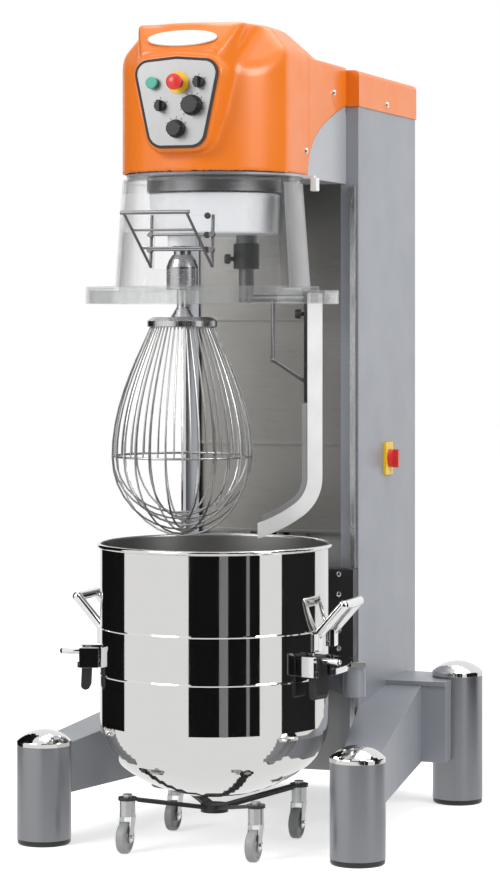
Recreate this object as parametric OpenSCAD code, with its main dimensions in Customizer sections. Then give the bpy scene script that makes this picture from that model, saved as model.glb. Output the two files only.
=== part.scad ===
// Floor-standing planetary mixer with a lifting bowl, a clear bowl guard and a bowl trolley.
// Millimetres, +Z up. The front faces -Y. The origin is on the floor, in the middle of the machine's box.
// Inside the modules, X and Y count from the bowl's axis; at_bowl() moves them to the origin.

/* [Base] */
// Distance of each leg's axis from the middle plane
leg_x = 425; // [400:1:520]
// Radius of a leg
leg_r = 70; // [55:1:85]
// Distance of the front legs ahead of the bowl's axis
front_leg_ahead = 124; // [90:1:160]
// Height of the front leg tubes
front_leg_h = 255; // [215:1:300]
// Height of the rear leg tubes
rear_leg_h = 358; // [340:1:380]
// Height of a domed leg cap
leg_cap_h = 40; // [30:1:60]
// Height of the rubber ring under a leg
foot_h = 14; // [8:1:20]
// Height of the underside of the base arms
arm_z = 128; // [110:1:150]
// Width of a base arm at the front leg
arm_w = 96; // [70:1:120]
// Depth of the rear cross beam
beam_d = 213; // [190:1:230]

/* [Column] */
// Width of the column
column_w = 510; // [500:1:620]
// Depth of the column
column_d = 558; // [540:1:680]
// Height of the column up to its cap
column_h = 1933; // [1900:1:2320]
// Height of the cap on the column
cap_h = 98; // [80:1:120]
// Thickness of the sheet metal
sheet = 4; // [2:0.5:5]
// Width of the front flanges
flange_w = 50; // [45:1:60]

/* [Head] */
// Width of the head cover
head_w = 448; // [440:1:460]
// Distance of the head's lower edge below the top of the column
head_drop = 203; // [190:1:215]
// Height of the head's flat sides
head_side_h = 313; // [300:1:320]
// Height of the crown above the sides
crown_h = 64; // [45:1:75]
// Inset of the crown's flat from the sides
crown_inset = 56; // [40:1:70]
// Radius of the rounded front
front_r = 233; // [230:1:245]
// Wall of the head cover
cover_wall = 4; // [3:0.5:6]
// How far the control pod stands ahead of the rounded front
pod_out = 31; // [26:1:40]

/* [Bowl] */
// Radius of the bowl's wall
bowl_r = 296; // [270:1:360]
// Height of the bowl
bowl_h = 654; // [620:1:720]
// Height of the lowered bowl's base above the floor
bowl_z = 128; // [125:1:150]
// Wall of the bowl
bowl_wall = 3; // [2:0.5:4]
// Radius of the bowl's crowned base
crown_r = 400; // [380:1:430]
// Radius of the knuckle between base and wall
knuckle_r = 140; // [120:1:160]
// Radius of the rolled rim
rim_r = 6; // [4:0.5:8]

/* [Planetary] */
// Module of the ring gear and its pinion
gear_m = 5; // [5:0.5:5]
// Teeth of the ring gear
ring_teeth = 60; // [60:2:60]
// Teeth of the pinion on the tool shaft
pinion_teeth = 22; // [22:2:22]
// Radius of the planetary drum
drum_r = 170; // [162:1:178]
// Height of the planetary drum
drum_h = 104; // [80:1:120]
// Radius of the main shaft
main_shaft_r = 30; // [24:1:32]
// Radius of the tool shaft
tool_shaft_r = 22; // [18:1:26]
// Direction of the tool from the main shaft at rest
tool_angle = 229; // [200:1:250]
// Pitch radius of the motor pulley
motor_pulley_r = 62; // [50:1:75]
// Pitch radius of the driven pulley
driven_pulley_r = 124; // [100:1:140]

/* [Whisk] */
// Height of the whisk's wires below its disc
whisk_h = 538; // [500:1:560]
// Number of wire loops
loop_count = 13; // [7:1:15]
// Diameter of a wire
wire_d = 5; // [3:0.2:5]
// Step in depth from one loop to the next
loop_step = 5.4; // [5.4:0.2:7]
// Radius of the whisk's disc
disc_r = 90; // [80:1:100]

/* [Scraper] */
// Gap between scraper and bowl
scraper_gap = 14; // [8:1:18]
// Width of the scraper blade
blade_w = 38; // [30:1:45]
// Thickness of the scraper blade
blade_t = 12; // [8:1:16]
// Direction of the scraper from the main shaft at rest
scraper_angle = 15; // [0:1:20]

/* [Guard] */
// Radius of the guard at its top
guard_top_r = 238; // [232:1:240]
// Radius of the guard where the brim starts
guard_foot_r = 257; // [250:1:262]
// Distance of the brim below the head
brim_drop = 289; // [270:1:300]
// Height of the brim's lip
lip_h = 43; // [36:1:50]
// Angle that the clear front sector covers
front_sector = 144; // [120:1:150]
// How far the loading chute reaches ahead of the bowl's axis
chute_reach = 434; // [400:1:460]

/* [Trolley] */
// Distance of each castor from the trolley's middle, in X and in Y
castor_xy = 173; // [150:1:200]
// Radius of a castor wheel
wheel_r = 40; // [34:1:44]
// Width of a castor wheel
wheel_w = 24; // [18:1:26]
// Trail of a castor wheel behind its stem
trail = 18; // [14:1:24]

/* [Controls] */
// Width of the control panel at its top
panel_top_w = 208; // [196:1:216]
// Width of the control panel at its foot
panel_foot_w = 146; // [130:1:160]
// Height of the control panel
panel_h = 215; // [205:1:222]
// Radius of the stop mushroom
mushroom_r = 20; // [16:1:24]
// Radius of the speed knob
speed_knob_r = 26; // [20:1:28]

/* [Hidden] */
$fn = 64;
run_gap = 0.3;
shaft_gap = 0.05;
seat_gap = 0.1;
half_w = column_w / 2;
head_half = head_w / 2;

// Heights, from the head down
head_z = column_h - head_drop;
disc_z = head_z - 6;
ring_gear_h = 40;
ring_gear_z = disc_z - ring_gear_h;
drum_top = ring_gear_z - 4;
drum_z = drum_top - drum_h;
bell_top = drum_z - 53;
bell_h = 90;
bell_z = bell_top - bell_h;
whisk_disc_top = bell_z - 69;
whisk_disc_h = 26;
wire_top = whisk_disc_top - whisk_disc_h;
whisk_z = wire_top - whisk_h;
brim_z = head_z - brim_drop;
lip_z = brim_z - lip_h;
rim_z = bowl_z + bowl_h;
whisk_gap = 39;
lift_travel = whisk_z - whisk_gap - bowl_z - bowl_wall;

// Distances back from the bowl's axis
yoke_ri = bowl_r + 38;
yoke_w = 61;
yoke_ro = yoke_ri + yoke_w;
column_y = yoke_ro + 43;
column_back = column_y + column_d;
cap_over = 3;
rear_leg_y = column_y + 397;
beam_y = column_y + 268;
motor_y = column_y + 202;
screw_y = column_y + 102;
bowl_y = (chute_reach - column_back - cap_over) / 2;

// Planetary
orbit_r = gear_m * (ring_teeth - pinion_teeth) / 2;
tool_pos = orbit_r * [cos(tool_angle), sin(tool_angle)];
whisk_r = bowl_r - bowl_wall - 18 - orbit_r;

// Carriage and its covers
yoke_end = 22;
yoke_z = bowl_z + 253;
yoke_h = 80;
carriage_top = yoke_z + 304;
block_w = 92;
block_h = 236;
rail_w = 14;
rail_d = 18;
cover_z = carriage_top + 91;
cover_lap = 13;
cover_t = 3;
cover_hook = 2;
cover_step = cover_t + cover_hook + run_gap;
upper_cover_y = column_y + 8;
middle_cover_y = upper_cover_y + cover_step;
lower_cover_y = middle_cover_y + cover_step;
lower_cover_h = head_z - cover_z - lift_travel - 72;
middle_cover_h = lift_travel / 2 + 37;
middle_cover_z = cover_z + lower_cover_h - cover_lap;
upper_cover_z = middle_cover_z + middle_cover_h - cover_lap;
nut_z = carriage_top - 165;
nut_h = 80;
screw_r = 20;

// Clamps beside the bowl
clamp_angle = -18;
clamp_r = bowl_r + 26;
clamp_z = yoke_z + yoke_h + 39;

// Control pod and panel
front_y = -front_r - 12;
pod_y = front_y - pod_out;
panel_y = pod_y - 4;
panel_z = head_z + 62;
panel_mid = panel_z + panel_h / 2;
start_at = [-62, panel_mid + 49];
stop_at = [5, panel_mid + 49];
right_selector_at = [60, panel_mid + 49];
left_selector_at = [-42, panel_mid - 8];
speed_knob_at = [42, panel_mid - 8];
lift_knob_at = [0, panel_mid - 66];
switch_y = column_y + 271;
switch_z = 970;
switch_plate_t = 8;

// Shared shapes

function arc(cx, cy, r, a0, a1, n = 12) =
  [for (i = [0 : n]) let (a = a0 + (a1 - a0) * i / n) [cx + r * cos(a), cy + r * sin(a)]];

module at_bowl() {
  translate([0, bowl_y, 0])
    children();
}

module both_sides() {
  for (side = [0, 1])
    mirror([side, 0, 0])
      children();
}

module tube(r_out, r_in, h) {
  difference() {
    cylinder(r = r_out, h = h);
    translate([0, 0, -1])
      cylinder(r = r_in, h = h + 2);
  }
}

module sector(a0, a1) {
  rotate([0, 0, a0])
    rotate_extrude(angle = a1 - a0)
      children();
}

// Round bar along X from x0 to x1
module bar_x(x0, x1, y, z, r) {
  translate([x0, y, z])
    rotate([0, 90, 0])
      cylinder(r = r, h = x1 - x0);
}

// Round bar along Y from y0 to y1
module bar_y(x, y0, y1, z, r) {
  translate([x, y1, z])
    rotate([90, 0, 0])
      cylinder(r = r, h = y1 - y0);
}

// Round bar from point p to point q
module rod(p, q, r) {
  v = q - p;
  translate(p)
    rotate([0, acos(v[2] / norm(v)), atan2(v[1], v[0])])
      cylinder(r = r, h = norm(v));
}

// Outline in Y and Z, extruded along X from x0 to x1
module plate_x(x0, x1) {
  translate([x0, 0, 0])
    rotate([90, 0, 90])
      linear_extrude(x1 - x0)
        children();
}

// Outline in X and Z, extruded along Y from y0 to y1
module plate_y(y0, y1) {
  translate([0, y1, 0])
    rotate([90, 0, 0])
      linear_extrude(y1 - y0)
        children();
}

// Base

leg_places = [[-leg_x, -front_leg_ahead, front_leg_h], [leg_x, -front_leg_ahead, front_leg_h],
  [-leg_x, rear_leg_y, rear_leg_h], [leg_x, rear_leg_y, rear_leg_h]];

cap_rim = 1;

module leg_bores() {
  for (p = leg_places)
    translate([p[0], p[1], 0]) {
      cylinder(r = leg_r + seat_gap, h = column_h);
      translate([0, 0, p[2] - run_gap])
        cylinder(r = leg_r + cap_rim + seat_gap, h = column_h);
    }
}

arm_front_top = front_leg_h - 2;
arm_rear_top = rear_leg_h - 18;
beam_top = rear_leg_h - 6;
beam_lip = 12;

module base_arm() {
  intersection() {
    linear_extrude(column_h)
      polygon([[leg_x + arm_w / 2, -front_leg_ahead], [leg_x - arm_w / 2, -front_leg_ahead],
        [half_w, column_y], [half_w, beam_y], [half_w + 101, beam_y]]);
    plate_x(0, leg_x * 2)
      polygon([[-front_leg_ahead, arm_z], [beam_y, arm_z], [beam_y, arm_rear_top],
        [-front_leg_ahead, arm_front_top]]);
  }
}

module base_beam() {
  translate([half_w, beam_y, arm_z])
    cube([leg_x - half_w, beam_d, arm_rear_top - arm_z]);
  translate([half_w, beam_y - 6, arm_rear_top])
    cube([leg_x - half_w, beam_d + 6, beam_top - arm_rear_top]);
}

module base_frame() {
  color("slategray")
    both_sides()
      difference() {
        union() {
          base_arm();
          base_beam();
        }
        leg_bores();
      }
}

module legs() {
  color("slategray")
    for (p = leg_places)
      translate([p[0], p[1], foot_h])
        cylinder(r = leg_r, h = p[2] - foot_h);
}

module leg_caps() {
  skirt = 12;
  dome_r = (leg_r * leg_r + pow(leg_cap_h - skirt, 2)) / (2 * (leg_cap_h - skirt));
  color("gainsboro")
    for (p = leg_places)
      translate([p[0], p[1], p[2]])
        rotate_extrude()
          polygon(concat([[0, 0], [leg_r + cap_rim, 0], [leg_r + cap_rim, skirt - 2]],
            arc(0, leg_cap_h - dome_r, dome_r, asin((dome_r - leg_cap_h + skirt) / dome_r), 90)));
}

module foot_rings() {
  color("dimgray")
    for (p = leg_places)
      translate([p[0], p[1], 0])
        rotate_extrude()
          polygon([[0, 0], [leg_r - 4, 0], [leg_r - 1, 4], [leg_r - 1, foot_h], [0, foot_h]]);
}

// Column

module column_sides() {
  color("slategray")
    both_sides() {
      translate([half_w - sheet, column_y, arm_z])
        cube([sheet, column_d, column_h - arm_z]);
      translate([half_w - flange_w, column_y, arm_z])
        cube([flange_w, sheet, column_h - arm_z]);
      translate([half_w - 24, column_back - sheet - 20, arm_z])
        cube([24, 20, column_h - arm_z]);
    }
}

module column_rear_cover() {
  louvre_rows = 8;
  color("slategray")
    difference() {
      translate([sheet - half_w, column_back - sheet, arm_z])
        cube([column_w - 2 * sheet, sheet, column_h - arm_z]);
      for (row = [0 : louvre_rows - 1], side = [-1, 1])
        translate([side * half_w / 2 - 60, column_back - 2 * sheet, head_z - 40 * row])
          cube([120, 3 * sheet, 9]);
    }
}

panel_half = half_w - flange_w - 1;

// Telescopic cover with a hook lip along its foot and its top
module cover_plate(y, z, h) {
  lip = 8;
  translate([-panel_half, y, z])
    cube([2 * panel_half, cover_t, h]);
  for (lip_z0 = [z, z + h - lip])
    translate([-panel_half, y - cover_hook, lip_z0])
      cube([2 * panel_half, cover_hook + 1, lip]);
}

module column_inner_panel() {
  slot_half = 45;
  color("black")
    difference() {
      translate([sheet - half_w, column_y + 42, arm_z])
        cube([column_w - 2 * sheet, 3, head_z - arm_z]);
      translate([-slot_half, column_y + 40, nut_z - 20])
        cube([2 * slot_half, 8, lift_travel + nut_h + 40]);
    }
}

module upper_lift_cover() {
  back = upper_cover_y + cover_t;
  color("silver") {
    cover_plate(upper_cover_y, upper_cover_z, head_z - upper_cover_z);
    both_sides()
      translate([panel_half - 20, back, head_z - 40])
        cube([20, column_y + 42 - back, 40]);
  }
}

module middle_lift_cover() {
  color("silver")
    cover_plate(middle_cover_y, middle_cover_z, middle_cover_h);
}

module lower_lift_cover() {
  color("silver") {
    cover_plate(lower_cover_y, cover_z, lower_cover_h);
    both_sides()
      translate([60, lower_cover_y + cover_t, carriage_top - 60])
        cube([40, 6, cover_z - carriage_top + 100]);
  }
}

module lift_rails() {
  color("gainsboro")
    both_sides()
      translate([half_w - 5 - rail_w, column_y - rail_d, arm_z + 12])
        cube([rail_w, rail_d, head_z - arm_z - 24]);
}

module column_cap() {
  cap_half = half_w + cap_over;
  color("darkorange")
    difference() {
      plate_y(column_y - 4, column_back + cap_over)
        polygon(concat([[-cap_half, column_h], [cap_half, column_h]],
          arc(cap_half - 14, column_h + cap_h - 14, 14, 0, 90, 6),
          arc(14 - cap_half, column_h + cap_h - 14, 14, 90, 180, 6)));
      translate([4 - cap_half, column_y, column_h - 1])
        cube([2 * cap_half - 8, column_d - 1, cap_h - 3]);
      translate([-head_half + 16, column_y - 5, column_h - 1])
        cube([head_w - 32, 10, cap_h - 10]);
    }
}

// Head

// Outline of the head in plan, inset by d, back to the distance y_back
module head_plan(d, y_back) {
  side = head_half - d;
  r = front_r - d;
  a = acos(side / r);
  polygon(concat(arc(0, -12, r, -180 + a, -a, 32), [[side, y_back], [-side, y_back]]));
}

// Sloped facet on each side of the control pod, at the distance d inside the outer face
module shoulder_cuts(d) {
  lean = [0.56, -0.604, 0.567];
  corner = [head_half, -12 - sqrt(front_r * front_r - head_half * head_half), head_z + head_side_h - 3];
  both_sides()
    translate(corner - d * lean)
      rotate([0, acos(lean[2]), atan2(lean[1], lean[0])])
        translate([-400, -400, 0])
          cube([800, 800, 400]);
}

// Hood over the planetary: flat sides under a sloped crown
module hood(d, y_back) {
  difference() {
    crowned(d, y_back);
    shoulder_cuts(d);
  }
}

module crowned(d, y_back) {
  hull() {
    translate([0, 0, head_z - (d > 0 ? 1 : 0)])
      linear_extrude(head_side_h - 8)
        head_plan(d, y_back);
    translate([0, 0, head_z + head_side_h - d])
      linear_extrude(0.1)
        head_plan(d + 4, y_back - 6);
    translate([0, 0, head_z + head_side_h + crown_h - 14 - d])
      linear_extrude(0.1)
        head_plan(d + crown_inset - 10, y_back - 80);
    translate([0, 0, head_z + head_side_h + crown_h - d - 0.1])
      linear_extrude(0.1)
        head_plan(d + crown_inset + 8, y_back - 100);
  }
}

// Outline of the control panel, widened by d
module panel_outline(d) {
  corner = 34;
  top_corner = 30;
  hull() {
    for (side = [-1, 1]) {
      translate([side * (panel_foot_w / 2 - corner), panel_z + corner])
        circle(r = corner + d, $fn = 32);
      translate([side * (panel_top_w / 2 - top_corner), panel_z + panel_h - top_corner - 6])
        circle(r = top_corner + d, $fn = 32);
    }
    translate([0, panel_z + panel_h - 60])
      circle(r = 60 + d, $fn = 48);
  }
}

// Pod that carries the panel and runs up into the crown, inset by d
module pod(d) {
  crown_z = head_z + head_side_h + crown_h - d;
  hull() {
    plate_y(pod_y + d, pod_y + d + 1)
      panel_outline(12 - d);
    plate_y(pod_y + 14, pod_y + 60)
      panel_outline(18 - d);
    translate([0, 0, crown_z - 0.1])
      linear_extrude(0.1)
        intersection() {
          head_plan(crown_inset + 8 + d, 20);
          square([2 * (138 - d), 500], center = true);
        }
  }
}

// Grey side of the casting shows behind this S curve
module side_cut() {
  s_front = 100;
  s_back = column_y - 41;
  s_top = column_h + 1;
  steps = 16;
  polygon(concat([for (i = [0 : steps]) [s_front + (s_back - s_front) * i / steps,
      head_z - 1 + (s_top - head_z + 1) * (1 - cos(180 * i / steps)) / 2]],
    [[column_y, s_top], [column_y, head_z - 1]]));
}

module head_cover() {
  cover_back = column_y - 4;
  roof_z = head_z + head_side_h - 4;
  color("darkorange")
    difference() {
      union() {
        hood(0, 170);
        pod(0);
        translate([-head_half, 100, head_z])
          cube([head_w, cover_back - 100, roof_z - head_z]);
      }
      hood(cover_wall, 170 - cover_wall);
      pod(cover_wall);
      translate([cover_wall - head_half, 80, head_z - 1])
        cube([head_w - 2 * cover_wall, cover_back - 79, roof_z - head_z + 1 - cover_wall]);
      plate_x(-head_w, head_w)
        side_cut();
      plate_y(pod_y - 1, pod_y + 20)
        panel_outline(-14);
    }
}

module head_casting() {
  wall = 12;
  half = head_half - cover_wall - run_gap;
  wall_top = column_h + 3;
  boss_r = 72;
  tail_z = column_h - 37;
  color("lightslategray")
    difference() {
      union() {
        translate([0, 0, disc_z])
          cylinder(r = hanger_r + 5, h = head_z - disc_z);
        translate([0, 0, disc_z])
          cylinder(r = boss_r, h = column_h - 8 - disc_z);
        both_sides()
          translate([half - wall, -40, disc_z])
            cube([wall, column_y + 36, wall_top - disc_z]);
        translate([-half, 0, disc_z])
          cube([2 * half, column_y, 20]);
        translate([-half, column_y - 16, disc_z])
          cube([2 * half, 16, tail_z + 18 - disc_z]);
        both_sides()
          translate([50, 60, disc_z])
            cube([14, column_y - 70, 120]);
        translate([-panel_half, column_y - 16, tail_z])
          cube([2 * panel_half, 40, 18]);
        translate([sheet - half_w, column_y + sheet, tail_z])
          cube([column_w - 2 * sheet, 340, 18]);
      }
      translate([0, 0, disc_z - 1])
        cylinder(r = main_shaft_r + 22 + seat_gap, h = column_h);
      translate([0, motor_y, tail_z - 1])
        cylinder(r = 60, h = 30);
    }
}

module shaft_bearings() {
  bearing_h = 30;
  color("lightgray")
    for (z = [disc_z + 6, column_h - 8 - bearing_h - 6])
      translate([0, 0, z])
        tube(main_shaft_r + 22, main_shaft_r + shaft_gap, bearing_h);
}

module control_panel() {
  color("silver")
    difference() {
      plate_y(panel_y, pod_y)
        panel_outline(0);
      bar_y(start_at[0], panel_y - 1, pod_y + 1, start_at[1], 11 + shaft_gap);
      bar_y(stop_at[0], panel_y - 1, pod_y + 1, stop_at[1], 11 + shaft_gap);
      bar_y(left_selector_at[0], panel_y - 1, pod_y + 1, left_selector_at[1], 8 + shaft_gap);
      bar_y(right_selector_at[0], panel_y - 1, pod_y + 1, right_selector_at[1], 8 + shaft_gap);
      bar_y(speed_knob_at[0], panel_y - 1, pod_y + 1, speed_knob_at[1], 8 + shaft_gap);
      bar_y(lift_knob_at[0], panel_y - 1, pod_y + 1, lift_knob_at[1], 8 + shaft_gap);
    }
}

module panel_gasket() {
  color("black")
    plate_y(panel_y + 1, pod_y)
      difference() {
        panel_outline(7);
        panel_outline(0.2);
      }
}

// Drive

pulley_z = column_h + 12;
pulley_h = 40;
belt_t = 7;

module main_motor() {
  body_r = 105;
  body_h = 300;
  flange_h = 16;
  top = column_h - 37;
  color("dimgray")
    translate([0, motor_y, top]) {
      translate([0, 0, -flange_h])
        tube(118, 59, flange_h);
      difference() {
        translate([0, 0, -flange_h - body_h])
          cylinder(r = body_r, h = body_h);
        for (i = [0 : 23])
          rotate([0, 0, 15 * i])
            translate([body_r - 7, -6, -flange_h - body_h + 40])
              cube([10, 12, body_h - 80]);
      }
      translate([0, 0, -flange_h - 1])
        cylinder(r = 19, h = flange_h + 1 + pulley_z + pulley_h - top);
      translate([body_r - 10, -55, -flange_h - 220])
        cube([60, 110, 120]);
    }
}

// Outline of the belt round both pulleys, at the distance d outside their running faces
function belt_path(d) = let (lean = asin((driven_pulley_r - motor_pulley_r) / motor_y))
  concat(arc(0, 0, driven_pulley_r + d, 180 - lean, 360 + lean, 28),
    arc(0, motor_y, motor_pulley_r + d, lean, 180 - lean, 18));

module drive_belt() {
  outer = belt_path(belt_t);
  inner = belt_path(run_gap);
  color("black")
    translate([0, 0, pulley_z + 4])
      linear_extrude(pulley_h - 8)
        difference() {
          polygon(outer);
          polygon(inner);
        }
}

module pulley(r, bore_r) {
  difference() {
    union() {
      cylinder(r = r, h = pulley_h);
      cylinder(r = r + 6, h = 3);
      translate([0, 0, pulley_h - 3])
        cylinder(r = r + 6, h = 3);
    }
    translate([0, 0, -1])
      cylinder(r = bore_r, h = pulley_h + 2);
  }
}

module motor_pulley() {
  color("gray")
    translate([0, motor_y, pulley_z])
      pulley(motor_pulley_r, 19 + shaft_gap);
}

module driven_pulley() {
  color("gray")
    difference() {
      translate([0, 0, pulley_z])
        pulley(driven_pulley_r, main_shaft_r - 4 + shaft_gap);
      for (i = [0 : 4])
        rotate([0, 0, 72 * i])
          translate([75, 0, pulley_z - 1])
            cylinder(r = 28, h = pulley_h + 2);
    }
}

module main_shaft() {
  color("lightgray") {
    translate([0, 0, drum_z + 20])
      cylinder(r = main_shaft_r, h = pulley_z - drum_z - 20);
    translate([0, 0, pulley_z])
      cylinder(r = main_shaft_r - 4, h = pulley_h + 6);
  }
}

// Planetary

// Outline of a toothed wheel: tooth_sign 1 for outward teeth, -1 for inward teeth
module toothed(teeth, tooth_sign) {
  pitch_r = gear_m * teeth / 2;
  tip_r = pitch_r + tooth_sign * 0.8 * gear_m;
  root_r = pitch_r - tooth_sign * 1.2 * gear_m;
  step = 360 / teeth;
  polygon([for (i = [0 : teeth - 1], p = [[-0.32, root_r], [-0.13, tip_r], [0.13, tip_r], [0.32, root_r]])
    p[1] * [cos((i + p[0]) * step), sin((i + p[0]) * step)]]);
}

module ring_gear() {
  color("darkslategray")
    translate([0, 0, ring_gear_z])
      rotate([0, 0, tool_angle + 180 / ring_teeth])
        linear_extrude(ring_gear_h)
          difference() {
            circle(r = gear_m * ring_teeth / 2 + 25);
            toothed(ring_teeth, -1);
          }
}

module planetary_drum() {
  edge_r = 8;
  holder_at = orbit_r * [cos(tool_angle + 180), sin(tool_angle + 180)];
  color("whitesmoke")
    difference() {
      union() {
        translate([0, 0, drum_z])
          rotate_extrude()
            polygon(concat([[0, 0]], arc(drum_r - 4 - edge_r, edge_r, edge_r, -90, 0, 6),
              [[drum_r, drum_h - 3], [drum_r - 3, drum_h], [0, drum_h]]));
        translate([tool_pos[0], tool_pos[1], drum_z - 30])
          cylinder(r = tool_shaft_r + 16, h = 40);
      }
      translate([tool_pos[0], tool_pos[1], drum_z - 40])
        cylinder(r = tool_shaft_r + shaft_gap, h = drum_h + 60);
      translate([0, 0, drum_z + 20])
        cylinder(r = main_shaft_r + shaft_gap, h = drum_h);
      translate([holder_at[0], holder_at[1], drum_z - 1])
        cylinder(r = 20 + shaft_gap, h = 41);
    }
}

module tool_shaft() {
  pinion_z = ring_gear_z + 4;
  pinion_h = ring_gear_h - 8;
  color("lightgray")
    translate([tool_pos[0], tool_pos[1], 0]) {
      translate([0, 0, pinion_z])
        rotate([0, 0, tool_angle])
          linear_extrude(pinion_h)
            toothed(pinion_teeth, 1);
      translate([0, 0, bell_top - 1])
        cylinder(r = tool_shaft_r, h = pinion_z - bell_top + 2);
      difference() {
        translate([0, 0, bell_z])
          rotate_extrude()
            polygon([[0, 0], [41, 0], [41, bell_h - 30], [34, bell_h - 12], [26, bell_h], [0, bell_h]]);
        translate([0, 0, bell_z - 1])
          cylinder(r = 14 + shaft_gap, h = 51);
        translate([-50, 0, bell_z + 20])
          rotate([0, 90, 0])
            cylinder(r = 6, h = 100);
      }
    }
}

module whisk_hub() {
  color("lightgray")
    translate([tool_pos[0], tool_pos[1], 0]) {
      translate([0, 0, wire_top])
        rotate_extrude()
          polygon([[0, 0], [disc_r - 2, 0], [disc_r, 2], [disc_r, whisk_disc_h - 10], [disc_r - 14, whisk_disc_h],
            [30, whisk_disc_h], [14, whisk_disc_h + 26], [0, whisk_disc_h + 26]]);
      translate([0, 0, wire_top + whisk_disc_h])
        cylinder(r = 14, h = bell_z + 49 - wire_top - whisk_disc_h);
    }
}

// Half of one wire loop, from the disc down to the pole, as [radius, height]
whisk_mid = wire_top - 331;
wire_start_r = disc_r - 10;
function loop_half(low) = concat(
  [for (i = [0 : 8]) let (a = 90 * (8 - i) / 8) [wire_start_r + (whisk_r - wire_start_r) * cos(a),
    whisk_mid + (wire_top - whisk_mid) * a / 90]],
  [for (i = [1 : 8]) let (a = 90 * i / 8) [whisk_r * cos(a), whisk_mid - (whisk_mid - low) * sin(a)]]);

// Whole loop in its plane: down one side, through the pole and up the other
function loop_path(low) = let (half = loop_half(low), last = len(half) - 1)
  concat(half, [for (i = [last - 1 : -1 : 0]) [-half[i][0], half[i][1]]]);

// Tube of the wire's diameter along a path in the X Z plane, with flat level ends
module wire(path, sides) {
  last = len(path) - 1;
  tangent = [for (i = [0 : last]) let (v = path[min(i + 1, last)] - path[max(i - 1, 0)])
    i == 0 ? [0, -1] : (i == last ? [0, 1] : v / norm(v))];
  points = [for (i = [0 : last], k = [0 : sides - 1]) let (a = 360 * k / sides, r = wire_d / 2)
    [path[i][0] - r * cos(a) * tangent[i][1], r * sin(a), path[i][1] + r * cos(a) * tangent[i][0]]];
  walls = [for (i = [0 : last - 1], k = [0 : sides - 1]) let (n = (k + 1) % sides)
    each [[i * sides + k, (i + 1) * sides + n, (i + 1) * sides + k],
      [i * sides + k, i * sides + n, (i + 1) * sides + n]]];
  ends = [[for (k = [sides - 1 : -1 : 0]) k], [for (k = [0 : sides - 1]) last * sides + k]];
  polyhedron(points = points, faces = concat(ends, walls));
}

module whisk_wires() {
  hoop_r = 3;
  color("lightgray")
    translate([tool_pos[0], tool_pos[1], 0]) {
      for (k = [0 : loop_count - 1])
        rotate([0, 0, 180 * (k * 5 % loop_count) / loop_count])
          wire(loop_path(whisk_z + wire_d / 2 + k * loop_step), 6);
      translate([0, 0, whisk_mid])
        rotate_extrude()
          translate([whisk_r - wire_d / 2 - hoop_r - run_gap, 0])
            circle(r = hoop_r, $fn = 24);
    }
}

// Bowl: half outline at the distance d inside the outer wall, from the axis to the height top
function bowl_line(d, z0, top) = let (
    knuckle_x = bowl_r - knuckle_r,
    drop = sqrt(pow(crown_r - knuckle_r, 2) - knuckle_x * knuckle_x),
    lean = atan2(drop, knuckle_x))
  concat(arc(0, z0 + crown_r, crown_r - d, -90, -lean, 10),
    arc(knuckle_x, z0 + crown_r - drop, knuckle_r - d, -lean + 3, 0, 12),
    [[bowl_r - d, top]]);

bead = 1.2;
bead_h = 6;
bead_places = [rim_z - 215, rim_z - 335];

module bowl() {
  color("gainsboro")
    union() {
      rotate_extrude()
        polygon(concat(bowl_line(0, bowl_z, rim_z - rim_r), [[bowl_r - bowl_wall, rim_z - rim_r]],
          [for (i = [len(bowl_line(bowl_wall, bowl_z, 0)) - 2 : -1 : 0])
            bowl_line(bowl_wall, bowl_z, 0)[i]]));
      translate([0, 0, rim_z - rim_r])
        rotate_extrude()
          translate([bowl_r + rim_r - bowl_wall, 0])
            circle(r = rim_r, $fn = 24);
      for (z = bead_places)
        translate([0, 0, z])
          rotate_extrude()
            polygon([[bowl_r - 1, -bead_h / 2], [bowl_r, -bead_h / 2], [bowl_r + bead, 0],
              [bowl_r, bead_h / 2], [bowl_r - 1, bead_h / 2]]);
    }
}

handle_z = rim_z - 148;

module bowl_handles() {
  bar_r = 12.5;
  out = bowl_r + 68;
  y0 = -45;
  y1 = 85;
  foot_z = handle_z - 90;
  foot_x = bowl_r + 2;
  color("gainsboro")
    both_sides()
      difference() {
        union() {
          bar_y(out, y0, y1, handle_z, bar_r);
          for (y = [y0, y1]) {
            rod([foot_x - 30, y, foot_z - 18], [out, y, handle_z], bar_r);
            translate([out, y, handle_z])
              sphere(r = bar_r + 0.6);
            translate([bowl_r - 40, y - 16, foot_z - 28])
              cube([47, 32, 44]);
          }
        }
        translate([0, 0, foot_z - 100])
          cylinder(r = bowl_r + seat_gap, h = 300);
        for (z = bead_places)
          translate([0, 0, z - bead_h / 2 - 1])
            cylinder(r = bowl_r + bead + 2 * seat_gap, h = bead_h + 2);
      }
}

module bowl_ears() {
  ear_z = yoke_z + yoke_h;
  ear_t = 15;
  color("lightgray")
    both_sides() {
      sector(yoke_end - 6, yoke_end + 10)
        translate([bowl_r + 40, ear_z])
          square([yoke_ro - bowl_r - 44, ear_t - 3]);
      difference() {
        sector(-24, yoke_end + 12)
          translate([bowl_r + seat_gap, ear_z])
            square([58, ear_t]);
        rotate([0, 0, clamp_angle])
          translate([clamp_r - 10, -30, ear_z - 1])
            cube([100, 60, 40]);
      }
      rotate([0, 0, clamp_angle])
        for (side = [-1, 1])
          translate([bowl_r + 1.5, side * 37 - 6, ear_z])
            cube([50, 12, clamp_z - ear_z + 12]);
    }
}

module bowl_fittings() {
  bowl_handles();
  bowl_ears();
}

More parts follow.
